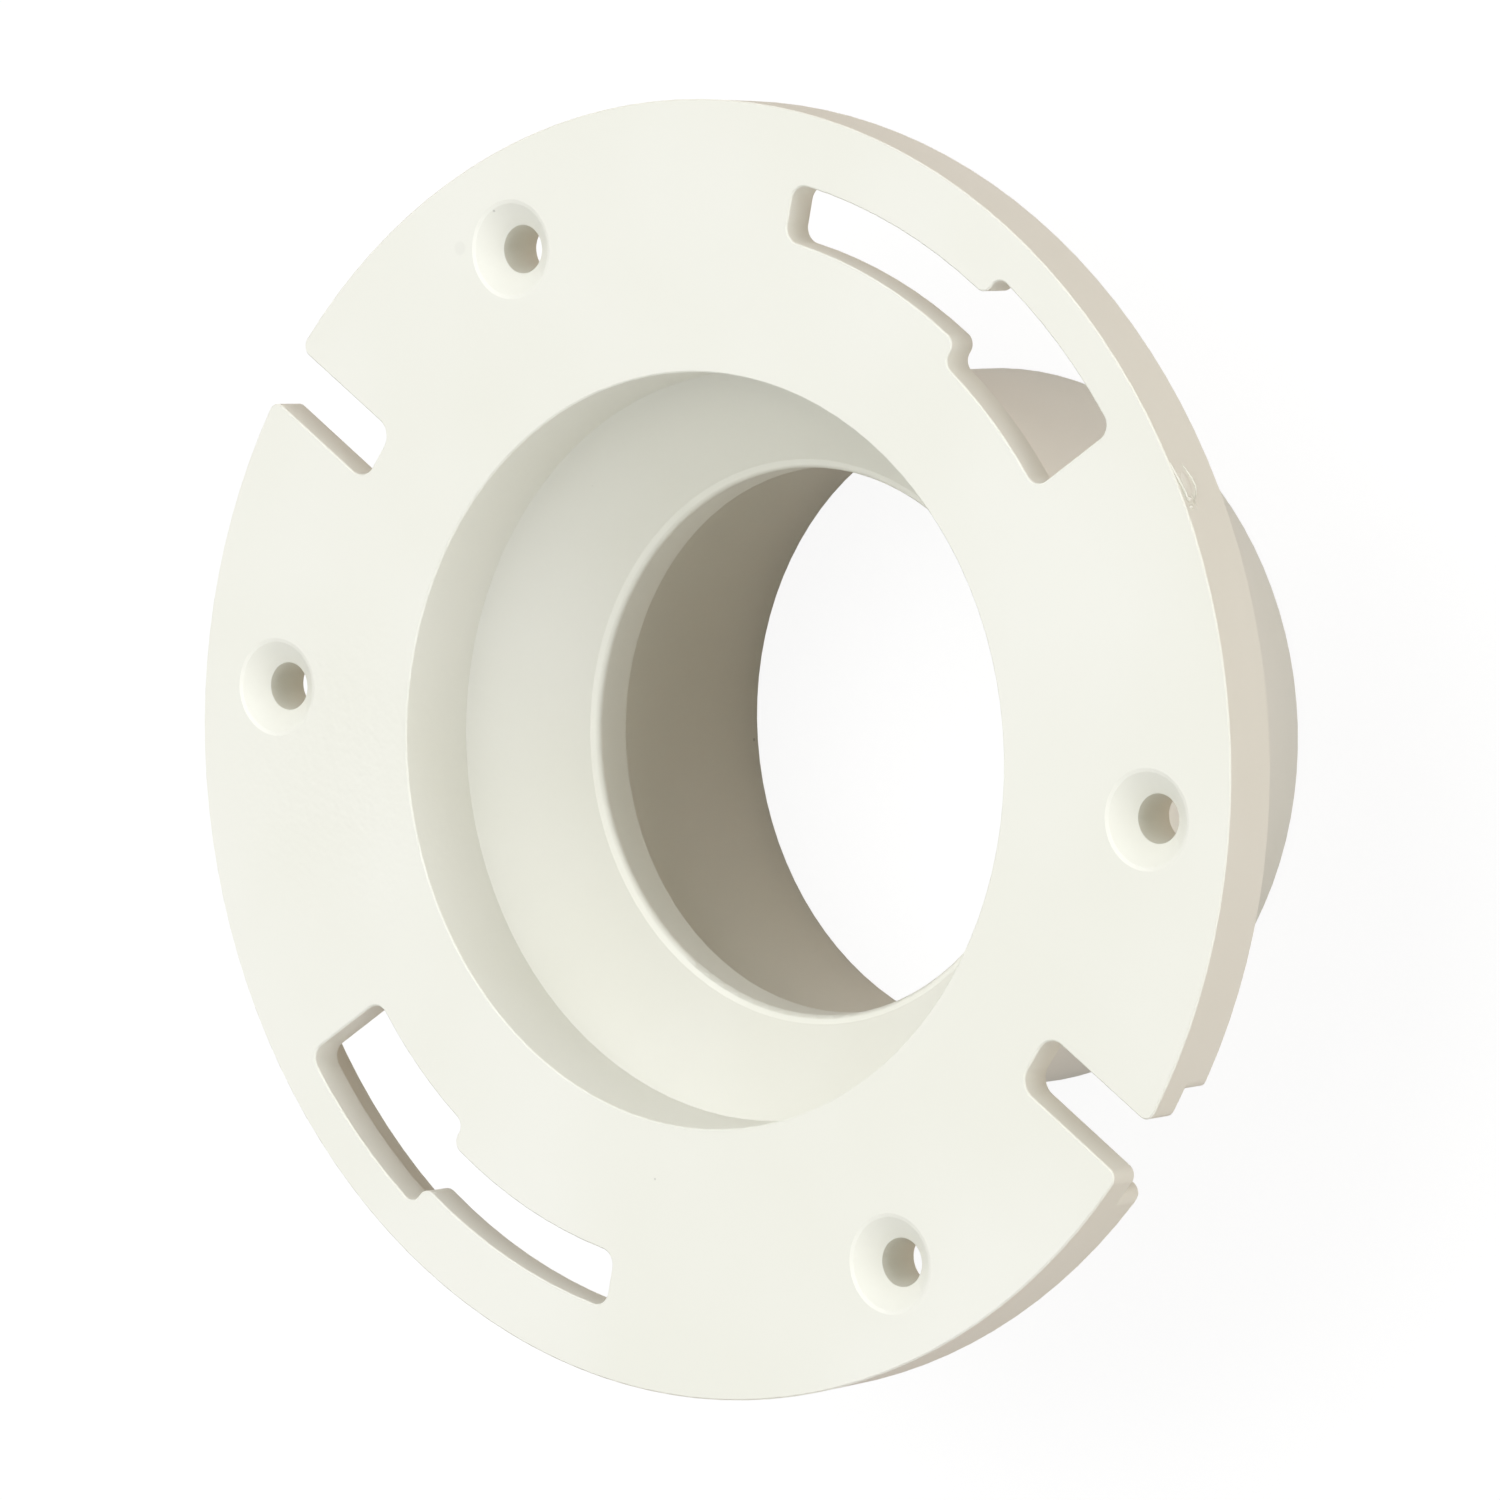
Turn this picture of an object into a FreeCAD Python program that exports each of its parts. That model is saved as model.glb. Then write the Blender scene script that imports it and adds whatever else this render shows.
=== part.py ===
import FreeCAD, Part
import math
import os
import Sketcher

# A moulded PVC closet flange: a round floor plate with a short hub below it, one solid.
# Millimetres. +Z is up, the plate lies face up, and the origin is the centre of the
# hub's lower end, which is also the mouth of the pipe socket. The two open radial
# slots lie along X and the two stepped bolt slots are centred on Y.

# Driving dimensions. A depth is measured down from the face of the plate.

SIZES = [
    ("total_height", 70.6, "face of the plate to the lower end of the hub"),
    ("flange_r", 88.9, "outer radius of the plate at its face"),
    ("rim_draft", 0.3, "how far the rim draws in by its lower edge"),
    ("plate_thick", 4.8, "thickness of the plate"),
    ("skirt_height", 5.0, "height of the skirt and the screw bosses below the plate"),
    ("skirt_wall", 4.0, "thickness of the rim's skirt at its lower edge"),
    ("skirt_draft", 0.3, "how far the skirt thickens up to the plate"),
    ("skirt_setback", 4.1, "how far the skirt ends short of a radial slot's side"),
    ("skirt_end_round", 1.8, "corner radius on the ends of the skirt"),
    ("mouth_r", 51.75, "radius of the mouth in the face of the plate"),
    ("band_draft", 0.15, "how far the straight band draws in by its lower end"),
    ("band_depth", 13.0, "depth of the straight band under the mouth"),
    ("funnel_height", 12.3, "height of the funnel below the band"),
    ("lip_width", 1.2, "width of the flatter lip between the funnel and the stop's bore"),
    ("lip_fall", 0.7, "how far that lip falls towards the bore"),
    ("throat_wall", 4.85, "wall of the throat round the mouth"),
    ("throat_drop", 1.4, "how far below the band the throat starts to narrow"),
    ("neck_height", 7.0, "height over which the throat narrows to the hub"),
    ("socket_r", 44.55, "radius of the pipe socket"),
    ("hub_wall", 6.15, "wall of the hub round the socket"),
    ("stop_ledge", 6.6, "width of the ledge that stops the pipe"),
    ("stop_thick", 5.8, "height of the pipe stop's bore"),
    ("stop_round", 1.0, "round from the lip into the bore of the pipe stop"),
    ("edge_break", 0.4, "small chamfer on the lower edges of the hub and the rim"),
    ("face_break", 0.2, "smaller chamfer along the edges of the face"),
    ("root_fill", 1.0, "chamfer in the corner between the skirt and the plate"),
    ("slot_width", 8.7, "width of an open radial slot"),
    ("slot_end_round", 2.6, "corner radius at the closed end of a radial slot"),
    ("slot_rim_round", 1.6, "corner radius where a radial slot opens at the rim"),
    ("fixing_inset", 13.55, "from the rim in to the circle of the bolt slots"),
    ("screw_past", 0.25, "how far the circle of the screw holes lies outside that circle"),
    ("slot_past", 6.5, "how far a radial slot runs in past the bolt slots' circle"),
    ("wide_width", 15.0, "width of the wide part of a bolt slot"),
    ("narrow_width", 7.9, "width of the narrow part of a bolt slot"),
    ("bolt_start_deg", 67.6, "angle at the wide end of a bolt slot"),
    ("bolt_step_deg", 86.7, "angle of the step from wide to narrow"),
    ("bolt_end_deg", 112.5, "angle at the narrow end of a bolt slot"),
    ("bolt_round", 1.7, "corner radius at the step of a bolt slot"),
    ("bolt_end_round", 2.2, "corner radius at the ends of a bolt slot"),
    ("screw_deg", 29.8, "angle of a screw hole from the line of the radial slots"),
    ("screw_hole_d", 6.75, "diameter of a screw hole"),
    ("countersink_width", 3.225, "width of a countersink round its hole"),
    ("countersink_deg", 100.0, "included angle of a countersink"),
    ("countersink_break", 0.3, "chamfer on the edge of a countersink"),
    ("boss_wall", 3.325, "wall of a screw boss round its hole"),
    ("gate_deg", 59.2, "angle of the trimmed gate's scar on the rim"),
    ("gate_scoop_r", 40.0, "radius of the hollow left by trimming the gate"),
    ("gate_scoop_depth", 0.2, "depth of that hollow in the rim"),
    ("gate_lip", 0.5, "rim left whole between the face and the scar"),
    ("gate_height", 2.2, "height of the scar"),
]

SAME = 0.001  # two lengths closer than this are equal
AT_CORNER = 0.01  # an edge's end closer than this to a corner is on it
UPRIGHT_RISE = 4  # an edge that rises more than this for each millimetre along is upright


class Measure:
    """A value together with the sheet formula that gives it."""

    def __init__(self, value, formula):
        self.value = value
        self.formula = formula

    def __add__(self, other):
        return Measure(self.value + other.value, "(%s + %s)" % (self.formula, other.formula))

    def __sub__(self, other):
        return Measure(self.value - other.value, "(%s - %s)" % (self.formula, other.formula))

    def __mul__(self, other):
        return Measure(self.value * other.value, "(%s * %s)" % (self.formula, other.formula))

    def __neg__(self):
        return Measure(-self.value, "(-%s)" % self.formula)

    def half(self):
        return Measure(self.value / 2, "(%s / 2)" % self.formula)


def cosine(angle):
    return Measure(math.cos(math.radians(angle.value)), "cos(%s * 1 deg)" % angle.formula)


def sine(angle):
    return Measure(math.sin(math.radians(angle.value)), "sin(%s * 1 deg)" % angle.formula)


def tangent(angle):
    return Measure(math.tan(math.radians(angle.value)), "tan(%s * 1 deg)" % angle.formula)


def lean(across, along):
    """Angle in degrees that a line leans across for a length along."""
    value = math.degrees(math.atan2(across.value, along.value))
    return Measure(value, "(atan2(%s; %s) / 1 deg)" % (across.formula, along.formula))


def at_angle(radius, angle):
    """Corner at a radius and an angle about the axis."""
    return radius * cosine(angle), radius * sine(angle)


os.makedirs("parts", exist_ok=True)
doc = FreeCAD.newDocument("ClosetFlange")
sheet = doc.addObject("Spreadsheet::Sheet", "Sizes")
size = {}
for row, (alias, value, meaning) in enumerate(SIZES, start=1):
    sheet.set("A%d" % row, alias)
    sheet.set("B%d" % row, str(value))
    sheet.set("C%d" % row, meaning)
    sheet.setAlias("B%d" % row, alias)
    size[alias] = Measure(value, "Sizes.%s" % alias)
doc.recompute()

body = doc.addObject("PartDesign::Body", "Body")
body.Label = "closet_flange"

# Levels and radii that follow from the sizes.

ZERO = Measure(0.0, "0")
face = size["total_height"]
underside = face - size["plate_thick"]
skirt_low = underside - size["skirt_height"]
rim_back = size["flange_r"] - size["rim_draft"]
skirt_inner = rim_back - size["skirt_wall"]
skirt_root = skirt_inner - size["skirt_draft"]
band_low = face - size["band_depth"]
band_end = size["mouth_r"] - size["band_draft"]
lip_top = band_low - size["funnel_height"]
stop_top = lip_top - size["lip_fall"]
stop_low = stop_top - size["stop_thick"]
throat_r = size["mouth_r"] + size["throat_wall"]
throat_low = band_low - size["throat_drop"]
neck = throat_low - size["neck_height"]
hub_r = size["socket_r"] + size["hub_wall"]
stop_r = size["socket_r"] - size["stop_ledge"]
lip_r = stop_r + size["lip_width"]
fixing_circle = size["flange_r"] - size["fixing_inset"]
screw_circle = fixing_circle + size["screw_past"]
wide_outer = fixing_circle + size["wide_width"].half()
wide_inner = fixing_circle - size["wide_width"].half()
narrow_outer = fixing_circle + size["narrow_width"].half()
narrow_inner = fixing_circle - size["narrow_width"].half()
slot_inner = fixing_circle - size["slot_past"]
half_slot = size["slot_width"].half()
half_gap = half_slot + size["skirt_setback"]
countersink_r = size["screw_hole_d"].half() + size["countersink_width"]
boss_r = size["screw_hole_d"].half() + size["boss_wall"]

# Sketching and feature helpers.


def new_sketch(name, role, height=None):
    """Sketch on one of the body's origin planes, raised to a height if one is given."""
    sketch = body.newObject("Sketcher::SketchObject", name)
    plane = next(item for item in body.Origin.OriginFeatures if item.Role == role)
    sketch.AttachmentSupport = [(plane, "")]
    sketch.MapMode = "FlatFace"
    if height:
        sketch.setExpression("AttachmentOffset.Base.z", height.formula)
    return sketch


def bind(sketch, kind, place, measure):
    """Dimension in a sketch, tied to the sheet by its formula."""
    index = sketch.addConstraint(Sketcher.Constraint(kind, *place, measure.value))
    sketch.setExpression("Constraints[%d]" % index, measure.formula)


def pin_point(sketch, geometry, end, x, y):
    """Place one point of a sketch by its distances from the origin."""
    bind(sketch, "DistanceX", (-1, 1, geometry, end), x)
    bind(sketch, "DistanceY", (-1, 1, geometry, end), y)


def outline(sketch, corners, arcs=None):
    """Closed outline through corners. Where an arc leaves a corner, arcs gives its
    centre, its radius and whether it turns left, by the corner's number."""
    arcs = arcs or {}
    ends = []
    for number, (x, y) in enumerate(corners):
        next_x, next_y = corners[(number + 1) % len(corners)]
        here = FreeCAD.Vector(x.value, y.value, 0)
        there = FreeCAD.Vector(next_x.value, next_y.value, 0)
        if number not in arcs:
            sketch.addGeometry(Part.LineSegment(here, there), False)
            ends.append((1, 2))
            continue
        (centre_x, centre_y), radius, turns_left = arcs[number]
        first, last = (here, there) if turns_left else (there, here)
        centre = FreeCAD.Vector(centre_x.value, centre_y.value, 0)
        circle = Part.Circle(centre, FreeCAD.Vector(0, 0, 1), radius.value)
        start_angle = math.atan2(first.y - centre.y, first.x - centre.x)
        end_angle = math.atan2(last.y - centre.y, last.x - centre.x)
        sketch.addGeometry(Part.ArcOfCircle(circle, start_angle, end_angle), False)
        ends.append((1, 2) if turns_left else (2, 1))
    for number, (x, y) in enumerate(corners):
        before = number - 1 if number else len(corners) - 1
        joint = (before, ends[before][1], number, ends[number][0])
        sketch.addConstraint(Sketcher.Constraint("Coincident", *joint))
        pin_point(sketch, number, ends[number][0], x, y)
    for number, (centre, radius, turns_left) in arcs.items():
        bind(sketch, "Radius", (number,), radius)


def disc(sketch, x, y, radius):
    """Circle in a sketch."""
    centre = FreeCAD.Vector(x.value, y.value, 0)
    circle = Part.Circle(centre, FreeCAD.Vector(0, 0, 1), radius.value)
    number = sketch.addGeometry(circle, False)
    pin_point(sketch, number, 3, x, y)
    bind(sketch, "Radius", (number,), radius)


def new_feature(kind, name, bindings):
    """Feature of the body, with its lengths tied to the sheet."""
    feature = body.newObject("PartDesign::%s" % kind, name)
    for key, measure in bindings.items():
        feature.setExpression(key, measure.formula)
    return feature


def sketched(kind, name, sketch, depth):
    """Pad or pocket of a sketch that goes down from its plane."""
    feature = new_feature(kind, name, {"Length": depth})
    feature.Profile = sketch
    doc.recompute()
    return feature


def eased(kind, key, name, base, amount, wanted):
    """Fillet or chamfer on the edges of a feature that a test accepts."""
    edges = []
    for number, edge in enumerate(base.Shape.Edges, start=1):
        if wanted(edge):
            edges.append("Edge%d" % number)
    feature = new_feature(kind, name, {key: amount})
    feature.Base = (base, edges)
    doc.recompute()
    return feature


def rounded(name, base, radius, wanted):
    return eased("Fillet", "Radius", name, base, radius, wanted)


def chamfered(name, base, width, wanted):
    return eased("Chamfer", "Size", name, base, width, wanted)


def near(first, second):
    return abs(first - second) < SAME


def circle_test(radius, height):
    """Test for an edge that is a circle about the axis, by its radius and height."""

    def wanted(edge):
        if not isinstance(edge.Curve, Part.Circle):
            return False
        centre = edge.Curve.Center
        on_axis = near(centre.x, 0) and near(centre.y, 0)
        return on_axis and near(edge.Curve.Radius, radius.value) and near(centre.z, height.value)

    return wanted


def upright_test(corners):
    """Test for edges that run down from a corner of an outline, or from its twin half a
    turn away."""

    def wanted(edge):
        top, foot = [vertex.Point for vertex in (edge.Vertexes[0], edge.Vertexes[-1])]
        if top.z < foot.z:
            top, foot = foot, top
        rise = top.z - foot.z
        if rise < AT_CORNER or rise < UPRIGHT_RISE * math.hypot(top.x - foot.x, top.y - foot.y):
            return False
        for x, y in corners:
            for side in (1, -1):
                if math.hypot(top.x - side * x, top.y - side * y) < AT_CORNER:
                    return True
        return False

    return wanted


# Section of the moulding, turned about Z: plate, rim with its skirt, throat and hub
# outside; mouth, straight band, funnel, lip, pipe stop and pipe socket inside. The round
# from the lip into the stop's bore is an arc that touches both.

lip_lean = lean(size["lip_width"], size["lip_fall"])
round_reach = size["stop_round"] * tangent(lip_lean.half())
round_start = (stop_r + round_reach * sine(lip_lean), stop_top + round_reach * cosine(lip_lean))
round_end = (stop_r, stop_top - round_reach)
round_centre = (stop_r + size["stop_round"], stop_top - round_reach)

section_corners = [
    (size["socket_r"], ZERO),
    (hub_r, ZERO),
    (hub_r, neck),
    (throat_r, throat_low),
    (throat_r, underside),
    (skirt_root, underside),
    (skirt_inner, skirt_low),
    (rim_back, skirt_low),
    (size["flange_r"], face),
    (size["mouth_r"], face),
    (band_end, band_low),
    (lip_r, lip_top),
    round_start,
    round_end,
    (stop_r, stop_low),
    (size["socket_r"], stop_low),
]
section = new_sketch("Section", "XZ_Plane")
round_number = section_corners.index(round_start)
outline(section, section_corners, {round_number: (round_centre, size["stop_round"], True)})
moulding = new_feature("Revolution", "Moulding", {})
moulding.Profile = section
moulding.ReferenceAxis = (section, ["V_Axis"])
moulding.Angle = 360
doc.recompute()

hub_end = chamfered("HubEnd", moulding, size["edge_break"], circle_test(hub_r, ZERO))
rim_foot = chamfered("RimFoot", hub_end, size["edge_break"], circle_test(rim_back, skirt_low))
chamfered("SkirtRoot", rim_foot, size["root_fill"], circle_test(skirt_root, underside))

# Screw bosses under the plate, as deep as the rim, so that they reach the floor with it.

screw_places = []
for along in (1, -1):
    for across in (1, -1):
        x, y = at_angle(screw_circle, size["screw_deg"])
        screw_places.append((x if along > 0 else -x, y if across > 0 else -y))

boss_sketch = new_sketch("BossSketch", "XY_Plane", skirt_low)
for x, y in screw_places:
    disc(boss_sketch, x, y, boss_r)
bosses = sketched("Pad", "ScrewBosses", boss_sketch, size["skirt_height"])

# Through each end of the radial slots' line: the gap in the skirt, then the open slot.

clear_of_rim = size["flange_r"] + size["slot_width"]
gap_sketch = new_sketch("SkirtGapSketch", "XY_Plane", underside)
outline(gap_sketch, [
    (slot_inner, -half_gap),
    (clear_of_rim, -half_gap),
    (clear_of_rim, half_gap),
    (slot_inner, half_gap),
])
skirt_gap = sketched("Pocket", "SkirtGap", gap_sketch, size["skirt_height"])

slot_sketch = new_sketch("RadialSlotSketch", "XY_Plane", face)
outline(slot_sketch, [
    (slot_inner, -half_slot),
    (clear_of_rim, -half_slot),
    (clear_of_rim, half_slot),
    (slot_inner, half_slot),
])
radial_slot = sketched("Pocket", "RadialSlot", slot_sketch, size["plate_thick"])

# Curved bolt slot: a bolt's head passes its wide part and is held by its narrow part.

start = size["bolt_start_deg"]
step = size["bolt_step_deg"]
finish = size["bolt_end_deg"]
bolt_sketch = new_sketch("BoltSlotSketch", "XY_Plane", face)
bolt_corners = [
    at_angle(wide_outer, start),
    at_angle(wide_outer, step),
    at_angle(narrow_outer, step),
    at_angle(narrow_outer, finish),
    at_angle(narrow_inner, finish),
    at_angle(narrow_inner, step),
    at_angle(wide_inner, step),
    at_angle(wide_inner, start),
]
axis = (ZERO, ZERO)
outline(bolt_sketch, bolt_corners, {
    0: (axis, wide_outer, True),
    2: (axis, narrow_outer, True),
    4: (axis, narrow_inner, False),
    6: (axis, wide_inner, False),
})
bolt_slot = sketched("Pocket", "BoltSlot", bolt_sketch, size["plate_thick"])

pair = new_feature("PolarPattern", "SlotPair", {})
pair.Originals = [skirt_gap, radial_slot, bolt_slot]
pair.Axis = (section, ["V_Axis"])
pair.Angle = 360
pair.Occurrences = 2
body.Tip = pair
doc.recompute()

# Rounded corners of the slots and of the skirt's ends.


def rim_corners(half_width, depth):
    """Where a gap about X of some half width opens at the rim, at a depth."""
    taper = size["rim_draft"].value / (face.value - skirt_low.value)
    radius = size["flange_r"].value - taper * depth
    along = math.sqrt(radius ** 2 - half_width.value ** 2)
    return [(along, half_width.value), (along, -half_width.value)]


slot_ends = [(slot_inner.value, side * half_slot.value) for side in (1, -1)]
slot_corners = rounded("SlotEndRounds", pair, size["slot_end_round"], upright_test(slot_ends))
rim_places = rim_corners(half_slot, 0)
rim_rounds = rounded("SlotRimRounds", slot_corners, size["slot_rim_round"], upright_test(rim_places))
skirt_places = rim_corners(half_gap, size["plate_thick"].value)
skirt_ends = rounded("SkirtEndRounds", rim_rounds, size["skirt_end_round"], upright_test(skirt_places))
bolt_places = [(x.value, y.value) for x, y in bolt_corners]
end_places = [bolt_places[number] for number in (0, 3, 4, 7)]
step_places = [bolt_places[number] for number in (1, 2, 5, 6)]
bolt_ends = rounded("BoltSlotEnds", skirt_ends, size["bolt_end_round"], upright_test(end_places))
bolt_steps = rounded("BoltSlotSteps", bolt_ends, size["bolt_round"], upright_test(step_places))

# Countersunk screw holes through the plate and its bosses.

screw_sketch = new_sketch("ScrewSketch", "XY_Plane", face)
for x, y in screw_places:
    disc(screw_sketch, x, y, size["screw_hole_d"].half())
doc.recompute()
screws = new_feature("Hole", "ScrewHoles", {})
screws.Profile = screw_sketch
doc.recompute()
screws.DepthType = "ThroughAll"
screws.ThreadType = "None"
screws.HoleCutType = "Countersink"
screws.setExpression("Diameter", size["screw_hole_d"].formula)
screws.setExpression("HoleCutDiameter", "2 * %s" % countersink_r.formula)
screws.setExpression("HoleCutCountersinkAngle", size["countersink_deg"].formula)
doc.recompute()

# Softened edges on the face: round the countersinks, and along the mouth, the slots and
# the rim.


def countersink_edge(edge):
    if not isinstance(edge.Curve, Part.Circle):
        return False
    at_face = near(edge.Curve.Center.z, face.value)
    return at_face and near(edge.Curve.Radius, countersink_r.value)


def face_edge(edge):
    box = edge.BoundBox
    if not near(box.ZMin, face.value) or not near(box.ZMax, face.value):
        return False
    return not any(math.hypot(box.Center.x - x.value, box.Center.y - y.value) < AT_CORNER
                   for x, y in screw_places)


sinks = chamfered("CountersinkEdges", screws, size["countersink_break"], countersink_edge)
face_edges = chamfered("FaceEdges", sinks, size["face_break"], face_edge)

# Scar of the trimmed gate: a shallow hollow in the rim, just below the face.

scar_sketch = new_sketch("GateScarSketch", "XY_Plane", face - size["gate_lip"])
scoop_centre = size["flange_r"] + size["gate_scoop_r"] - size["gate_scoop_depth"]
scar_x, scar_y = at_angle(scoop_centre, size["gate_deg"])
disc(scar_sketch, scar_x, scar_y, size["gate_scoop_r"])
scar = sketched("Pocket", "GateScar", scar_sketch, size["gate_height"])

# Checks, then the solid itself.

for item in doc.Objects:
    if "Invalid" in item.State or "Error" in item.State:
        raise RuntimeError("%s failed: %s" % (item.Name, item.State))

for cut, before in ((skirt_gap, bosses), (radial_slot, skirt_gap), (bolt_slot, radial_slot),
                    (pair, bolt_slot), (screws, bolt_steps), (scar, face_edges)):
    if not cut.Shape.Volume < before.Shape.Volume:
        raise RuntimeError("%s removed nothing" % cut.Name)

shape = body.Shape
if shape.isNull() or not shape.isValid() or len(shape.Solids) != 1:
    raise RuntimeError("the flange is not one valid solid")
shape.exportStep("parts/%s.step" % body.Label)
print("%s: %.1f cm3" % (body.Label, shape.Volume / 1000))
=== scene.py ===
import math

import bpy
from mathutils import Euler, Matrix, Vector


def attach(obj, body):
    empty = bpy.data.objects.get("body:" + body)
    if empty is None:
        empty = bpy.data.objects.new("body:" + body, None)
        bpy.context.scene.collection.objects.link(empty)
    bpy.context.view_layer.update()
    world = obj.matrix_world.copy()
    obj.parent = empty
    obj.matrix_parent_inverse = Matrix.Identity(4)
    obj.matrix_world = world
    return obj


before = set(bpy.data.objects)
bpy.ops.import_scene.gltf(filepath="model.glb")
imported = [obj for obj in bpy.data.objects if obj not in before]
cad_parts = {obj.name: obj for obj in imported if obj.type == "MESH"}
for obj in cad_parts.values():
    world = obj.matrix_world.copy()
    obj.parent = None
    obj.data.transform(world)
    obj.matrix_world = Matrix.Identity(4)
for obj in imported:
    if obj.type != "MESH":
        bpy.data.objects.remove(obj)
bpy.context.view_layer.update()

# Camera: a long lens looks down past the upper left of the flange, which stands on its
# hub, so that the face shows as a wide oval with the rim and the hub along its right.

sensor_mm = 36.0
lens_mm = 259.8133
lens_place_m = (0.696592, 0.592371, 1.231304)
lens_turn_deg = (-3.664072, 37.807163, 34.438900)
nearest_m = 0.05
farthest_m = 60.0
camera_data = bpy.data.cameras.new("long_lens")
camera_data.sensor_width = sensor_mm
camera_data.lens = lens_mm
camera_data.clip_start = nearest_m
camera_data.clip_end = farthest_m
camera = bpy.data.objects.new("camera", camera_data)
camera.location = lens_place_m
camera.rotation_euler = Euler([math.radians(turn) for turn in lens_turn_deg])
bpy.context.scene.collection.objects.link(camera)
bpy.context.scene.camera = camera
bpy.context.scene.view_settings.view_transform = "Standard"

# Flange body: one piece of rigid white PVC, injection moulded through a gate on the rim.
# The polished steel of the mould leaves a satin skin, with a faint orange peel where the
# plastic cooled unevenly, the round mark of an ejector pin and a few burnt specks.

pvc_white = "#F4F4EB"
pvc_shade = "#F1F1E6"
pvc_ior = 1.53
pvc_roughness = 0.42
roughness_swing = 0.04
cloud_mm = 45.0  # one cloud in the pigment and the sheen
cloud_range = (0.35, 0.65)  # part of the noise that goes from shade to white
peel_grain_mm = 1.3  # one dimple of the orange peel
peel_depth_mm = 0.09  # deeper than a real dimple, so that it shows
peel_centre_mm = (-48.0, -40.0, 70.6)
peel_reach_mm = 34.0
peel_strongest = 1.0
peel_weakest = 0.12
mark_edge = (0.75, 1.15)  # shares of a mark's radius between which it fades
marks_mm = [
    # centre, radius, share of the light left
    ((-73.1, 32.5, 70.6), 1.0, 0.96),
    ((27.2, -53.05, 70.6), 0.17, 0.78),
    ((-71.27, 40.1, 70.22), 0.2, 0.75),
    ((-46.1, 10.6, 53.7), 0.22, 0.7),
    ((-34.6, -28.1, 0.9), 0.25, 0.7),
]


def linear_colour(hex_text):
    """sRGB hex to the linear colour that the shaders take."""
    channels = [int(hex_text[start:start + 2], 16) / 255 for start in (1, 3, 5)]
    return [c / 12.92 if c <= 0.04045 else ((c + 0.055) / 1.055) ** 2.4 for c in channels] + [1.0]


def add_node(tree, kind, settings=None, values=None, links=None):
    """Node with its settings, socket values and incoming links."""
    node = tree.nodes.new(kind)
    for name, value in (settings or {}).items():
        setattr(node, name, value)
    for name, value in (values or {}).items():
        node.inputs[name].default_value = value
    for name, source in (links or {}).items():
        tree.links.new(source, node.inputs[name])
    return node


def distance_from(tree, place, centre_mm):
    """Distance in metres from a point given in millimetres."""
    away = add_node(tree, "ShaderNodeVectorMath", {"operation": "DISTANCE"}, None, {0: place})
    away.inputs[1].default_value = [mm / 1000 for mm in centre_mm]
    return away.outputs["Value"]


moulded_pvc = bpy.data.materials.new("injection_moulded_rigid_pvc")
moulded_pvc.use_nodes = True
tree = moulded_pvc.node_tree
shader = tree.nodes["Principled BSDF"]
shader.inputs["IOR"].default_value = pvc_ior
place = add_node(tree, "ShaderNodeTexCoord").outputs["Object"]
cloud = add_node(tree, "ShaderNodeTexNoise", None,
                 {"Scale": 1000 / cloud_mm, "Detail": 2.0}, {"Vector": place})
clearer = add_node(tree, "ShaderNodeMapRange", None,
                   {"From Min": cloud_range[0], "From Max": cloud_range[1]},
                   {"Value": cloud.outputs["Fac"]})
tone = add_node(tree, "ShaderNodeMix", {"data_type": "RGBA"}, None,
                {0: clearer.outputs["Result"]})
tone.inputs[6].default_value = linear_colour(pvc_shade)
tone.inputs[7].default_value = linear_colour(pvc_white)
marked = tone.outputs[2]
for centre, radius, share in marks_mm:
    mark = add_node(tree, "ShaderNodeMapRange", {"interpolation_type": "SMOOTHSTEP"},
                    {"From Min": mark_edge[0] * radius / 1000,
                     "From Max": mark_edge[1] * radius / 1000,
                     "To Min": share, "To Max": 1.0},
                    {"Value": distance_from(tree, place, centre)})
    darker = add_node(tree, "ShaderNodeMix", {"data_type": "RGBA", "blend_type": "MULTIPLY"},
                      {0: 1.0}, {6: marked, 7: mark.outputs["Result"]})
    marked = darker.outputs[2]
tree.links.new(marked, shader.inputs["Base Color"])
satin = add_node(tree, "ShaderNodeMapRange", None,
                 {"To Min": pvc_roughness - roughness_swing,
                  "To Max": pvc_roughness + roughness_swing},
                 {"Value": cloud.outputs["Fac"]})
tree.links.new(satin.outputs["Result"], shader.inputs["Roughness"])
peel = add_node(tree, "ShaderNodeTexNoise", None,
                {"Scale": 1000 / peel_grain_mm, "Detail": 1.0}, {"Vector": place})
peel_depth = add_node(tree, "ShaderNodeMapRange", {"interpolation_type": "SMOOTHSTEP"},
                      {"From Min": 0.0, "From Max": peel_reach_mm / 1000,
                       "To Min": peel_strongest, "To Max": peel_weakest},
                      {"Value": distance_from(tree, place, peel_centre_mm)})
skin = add_node(tree, "ShaderNodeBump", None, {"Distance": peel_depth_mm / 1000},
                {"Height": peel.outputs["Fac"], "Strength": peel_depth.outputs["Result"]})
tree.links.new(skin.outputs["Normal"], shader.inputs["Normal"])

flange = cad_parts["closet_flange"]
flange.data.materials.clear()
flange.data.materials.append(moulded_pvc)

# Gate scar: the plastic entered the mould through a short gate on the rim. The gate was
# broken off by hand, which left a low rough pad with a torn lip along its upper and lower
# sides and two loose chips at its lower end.

scar_deg = 59.2
rim_r_mm = 88.84
face_mm = 70.6
pad_centre_mm = (1.5, 2.3)  # along the rim, below the face
pad_half_mm = (3.1, 1.5)
pad_sink_mm = 0.75
pad_radius_mm = 0.86
pad_segments = 48
pad_rings = 32
lip_sides = 8
chip_stretch = 1.6
torn_grain_mm = 0.9  # one tear in the broken plastic
torn_relief_mm = 0.07
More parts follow.
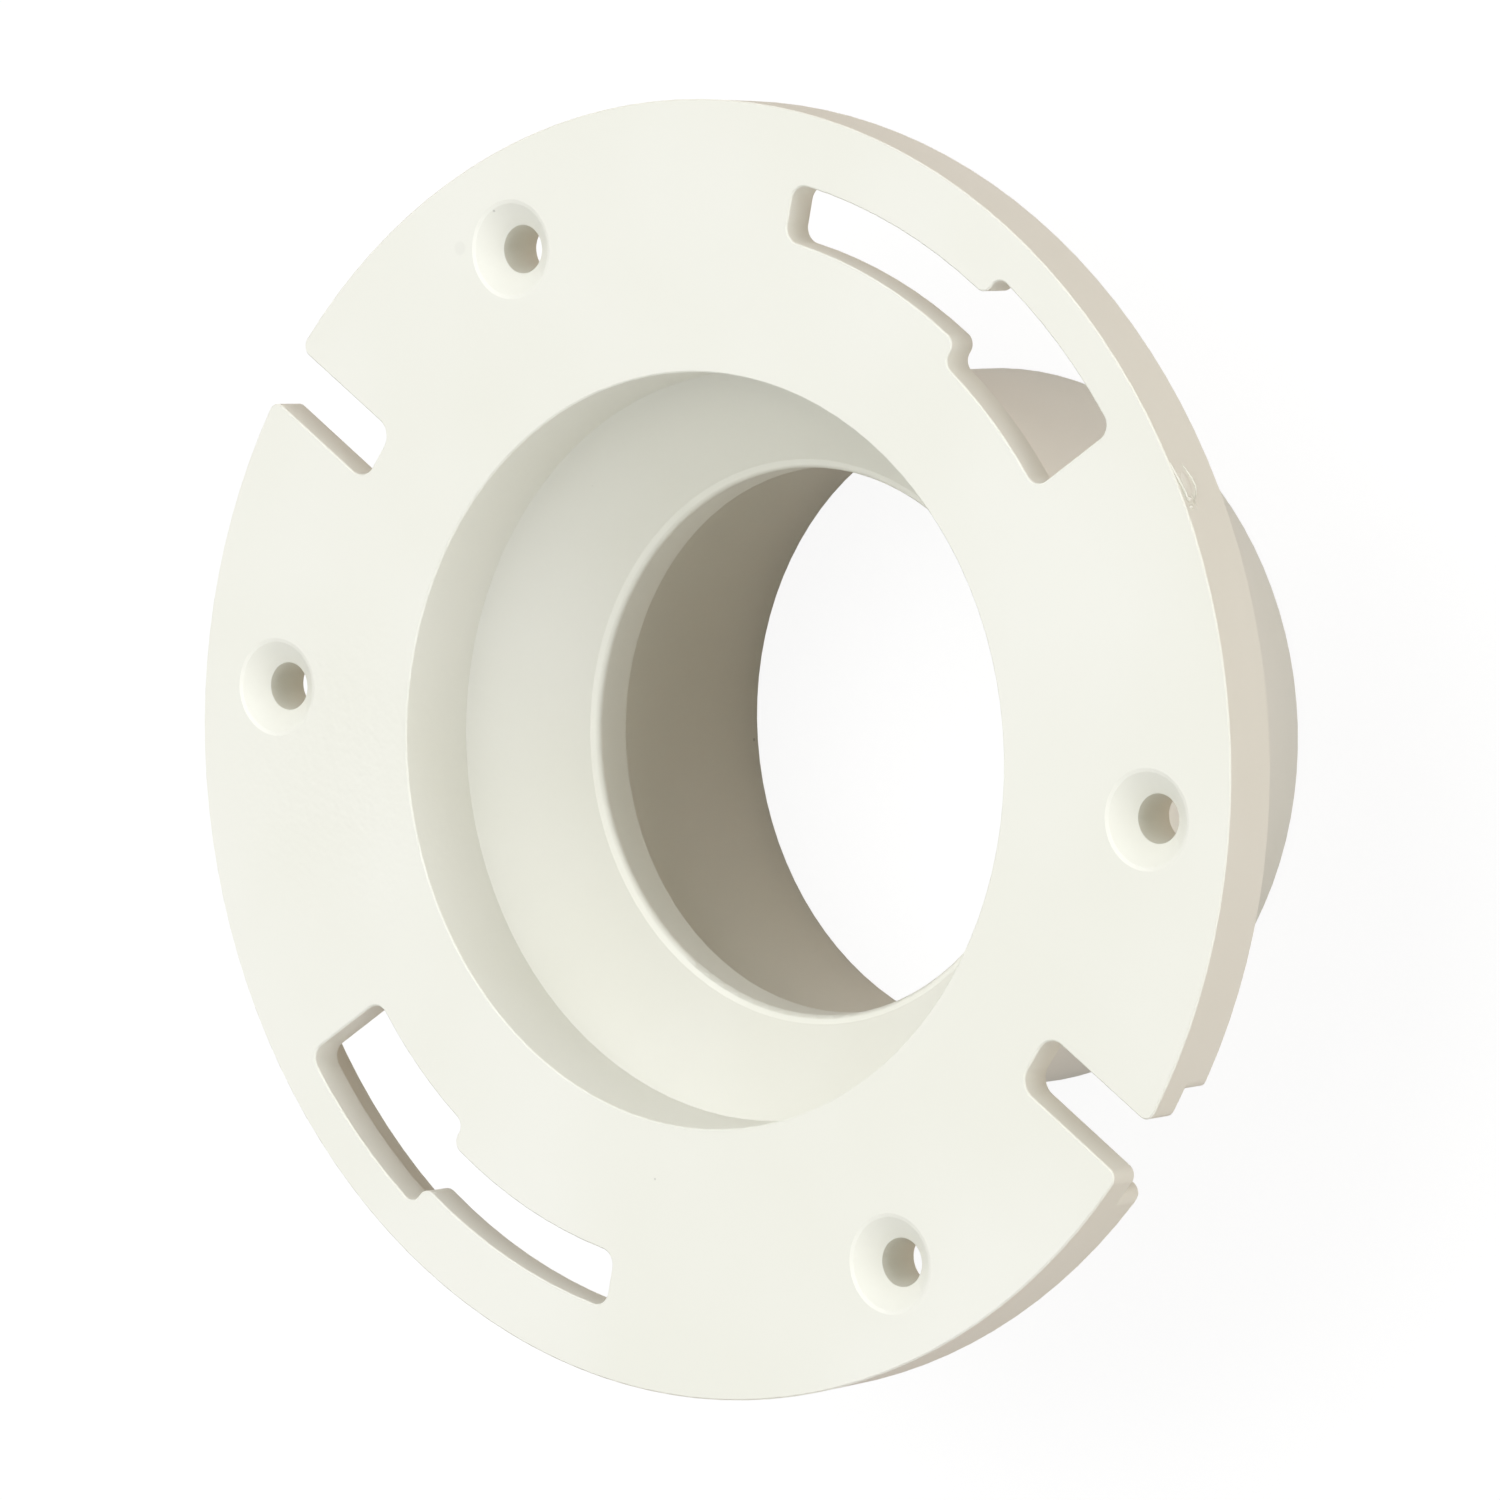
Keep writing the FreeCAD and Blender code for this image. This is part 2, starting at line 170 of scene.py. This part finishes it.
# Along the rim, below the face, radius.
upper_lip_mm = [(4.6, 0.38, 0.06), (4.0, 0.44, 0.17), (2.9, 0.6, 0.22), (2.2, 0.8, 0.26),
                (1.2, 1.0, 0.2), (0.2, 1.3, 0.28), (-0.8, 1.25, 0.18), (-1.1, 1.2, 0.05)]
lower_lip_mm = [(4.3, 2.9, 0.04), (3.2, 3.5, 0.10), (2.1, 3.95, 0.15), (1.3, 4.0, 0.11),
                (0.5, 4.1, 0.15), (-0.2, 3.45, 0.12), (-1.0, 2.6, 0.14), (-1.75, 1.85, 0.05)]
chips_mm = [(-0.9, 1.65, 0.31), (-2.0, 1.45, 0.26)]


def on_rim(along, depth, out=0.0):
    """Point on the rim's wall, in metres, from mm along it, below the face and proud of it."""
    turn = math.radians(scar_deg) + along / rim_r_mm
    reach = (rim_r_mm + out) / 1000
    return Vector((reach * math.cos(turn), reach * math.sin(turn), (face_mm - depth) / 1000))


def torn_lip(stations):
    """Thin ragged ridge, extruded from a small ring from station to station and closed."""
    bpy.ops.object.select_all(action="DESELECT")
    places = [on_rim(along, depth) for along, depth, radius in stations]
    facing = (places[1] - places[0]).to_track_quat("Z", "Y").to_euler()
    bpy.ops.mesh.primitive_circle_add(vertices=lip_sides, radius=stations[0][2] / 1000,
                                      fill_type="NGON", location=places[0], rotation=facing)
    bpy.ops.object.mode_set(mode="EDIT")
    bpy.ops.mesh.select_all(action="SELECT")
    for (before, after), (old, new) in zip(zip(places, places[1:]), zip(stations, stations[1:])):
        bpy.ops.mesh.extrude_region_move(TRANSFORM_OT_translate={"value": after - before})
        growth = new[2] / old[2]
        bpy.ops.transform.resize(value=(growth, growth, growth), center_override=after)
    bpy.ops.mesh.select_all(action="SELECT")
    bpy.ops.mesh.normals_make_consistent(inside=False)
    bpy.ops.object.mode_set(mode="OBJECT")
    bpy.ops.object.transform_apply(location=True, rotation=True, scale=True)
    return bpy.context.object


scar_parts = [torn_lip(upper_lip_mm), torn_lip(lower_lip_mm)]
for along, depth, radius in chips_mm:
    bpy.ops.object.select_all(action="DESELECT")
    bpy.ops.mesh.primitive_ico_sphere_add(subdivisions=3, radius=radius / 1000,
                                          location=on_rim(along, depth),
                                          scale=(1.0, 1.0, chip_stretch))
    bpy.ops.object.transform_apply(location=True, rotation=True, scale=True)
    scar_parts.append(bpy.context.object)
bpy.ops.object.select_all(action="DESELECT")
bpy.ops.mesh.primitive_uv_sphere_add(segments=pad_segments, ring_count=pad_rings, radius=0.001)
pad = bpy.context.object
pad.scale = (pad_radius_mm, pad_half_mm[0], pad_half_mm[1])
pad.rotation_euler = (0.0, 0.0, math.radians(scar_deg) + pad_centre_mm[0] / rim_r_mm)
pad.location = on_rim(pad_centre_mm[0], pad_centre_mm[1], -pad_sink_mm)
bpy.ops.object.transform_apply(location=True, rotation=True, scale=True)
scar_parts.append(pad)
bpy.ops.object.select_all(action="DESELECT")
for part in scar_parts:
    part.select_set(True)
bpy.context.view_layer.objects.active = pad
bpy.ops.object.join()
gate_scar = bpy.context.object
gate_scar.name = "gate_scar"
torn_plastic = bpy.data.textures.new("torn_plastic", "CLOUDS")
torn_plastic.noise_scale = torn_grain_mm / 1000
fine = gate_scar.modifiers.new("finer", "SUBSURF")
fine.levels = fine.render_levels = 1
bpy.ops.object.modifier_apply(modifier=fine.name)
ragged = gate_scar.modifiers.new("ragged", "DISPLACE")
ragged.texture = torn_plastic
ragged.strength = torn_relief_mm / 1000
ragged.mid_level = 0.5
bpy.ops.object.modifier_apply(modifier=ragged.name)
bpy.ops.object.shade_smooth()
gate_scar.data.materials.clear()
gate_scar.data.materials.append(moulded_pvc)
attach(gate_scar, "root")

# Floor: a wide pale sheet that the flange stands on. The camera sees it as white paper
# with the flange's faint shadow. The satin plastic mirrors only a part of that white, and
# what the sheet throws back on the flange's sides is a little warm.

floor_size_m = 40.0
floor_drop_m = 0.0001
floor_tint = "#B5A392"
paper_white = (1.0, 1.0, 1.0, 1.0)
paper_glow = 0.91
shadow_share = 0.12
mirrored_share = 0.25
bpy.ops.object.select_all(action="DESELECT")
bpy.ops.mesh.primitive_plane_add(size=floor_size_m, location=(0.0, 0.0, -floor_drop_m))
floor = bpy.context.object
floor.name = "studio_floor"
paper = bpy.data.materials.new("matt_white_paper")
paper.use_nodes = True
tree = paper.node_tree
tree.nodes.remove(tree.nodes["Principled BSDF"])
rays = add_node(tree, "ShaderNodeLightPath")
mirrored = add_node(tree, "ShaderNodeMath", {"operation": "MULTIPLY"}, {1: mirrored_share},
                    {0: rays.outputs["Is Glossy Ray"]})
seen_by_lens = add_node(tree, "ShaderNodeMath", {"operation": "MAXIMUM"}, None,
                        {0: rays.outputs["Is Camera Ray"], 1: mirrored.outputs["Value"]})
seen = add_node(tree, "ShaderNodeMath", {"operation": "MAXIMUM"}, None,
                {0: seen_by_lens.outputs["Value"], 1: rays.outputs["Is Transmission Ray"]})
glow = add_node(tree, "ShaderNodeEmission", None, {"Color": paper_white, "Strength": paper_glow})
shadowed = add_node(tree, "ShaderNodeBsdfDiffuse", None,
                    {"Color": (shadow_share, shadow_share, shadow_share, 1.0)})
white = add_node(tree, "ShaderNodeAddShader", None, None,
                 {0: glow.outputs["Emission"], 1: shadowed.outputs["BSDF"]})
lit = add_node(tree, "ShaderNodeBsdfDiffuse", None, {"Color": linear_colour(floor_tint)})
both = add_node(tree, "ShaderNodeMixShader", None, None,
                {0: seen.outputs["Value"], 1: lit.outputs["BSDF"], 2: white.outputs["Shader"]})
tree.links.new(both.outputs["Shader"], tree.nodes["Material Output"].inputs["Surface"])
floor.data.materials.append(paper)

# Light: a dim tent all round, one large soft lamp high at the upper left, and low soft
# lamps round the sides, the strongest at the right, where the rim and the hub show.

tent_strength = 0.1
wall_strength = 1.0
world = bpy.data.worlds.new("studio")
bpy.context.scene.world = world
world.use_nodes = True
tree = world.node_tree
tent = tree.nodes["Background"]
tent.inputs["Color"].default_value = paper_white
tent.inputs["Strength"].default_value = tent_strength
rays = add_node(tree, "ShaderNodeLightPath")
wall = add_node(tree, "ShaderNodeBackground", None,
                {"Color": paper_white, "Strength": wall_strength})
both = add_node(tree, "ShaderNodeMixShader", None, None,
                {0: rays.outputs["Is Camera Ray"], 1: tent.outputs["Background"],
                 2: wall.outputs["Background"]})
tree.links.new(both.outputs["Shader"], tree.nodes["World Output"].inputs["Surface"])

lamp_spread_deg = 50.0
soft_lamps = [
    # name, azimuth and elevation in degrees, strength
    ("key_lamp", 144.0, 65.0, 1.763),
    ("top_lamp", 0.0, 88.0, 0.560),
    ("right_lamp", 4.0, 4.0, 1.500),
    ("right_back_lamp", 58.0, 4.0, 1.080),
    ("back_lamp", 98.0, 4.0, 0.480),
    ("left_back_lamp", 150.0, 4.0, 0.240),
    ("left_lamp", 210.0, 4.0, 0.400),
    ("front_lamp", 286.0, 42.0, 0.350),
]
for name, azimuth, elevation, strength in soft_lamps:
    lamp_data = bpy.data.lights.new(name, "SUN")
    lamp_data.energy = strength
    lamp_data.angle = math.radians(lamp_spread_deg)
    lamp = bpy.data.objects.new(name, lamp_data)
    bpy.context.scene.collection.objects.link(lamp)
    level = math.cos(math.radians(elevation))
    towards = Vector((level * math.cos(math.radians(azimuth)),
                      level * math.sin(math.radians(azimuth)),
                      math.sin(math.radians(elevation))))
    lamp.rotation_euler = towards.to_track_quat("Z", "Y").to_euler()
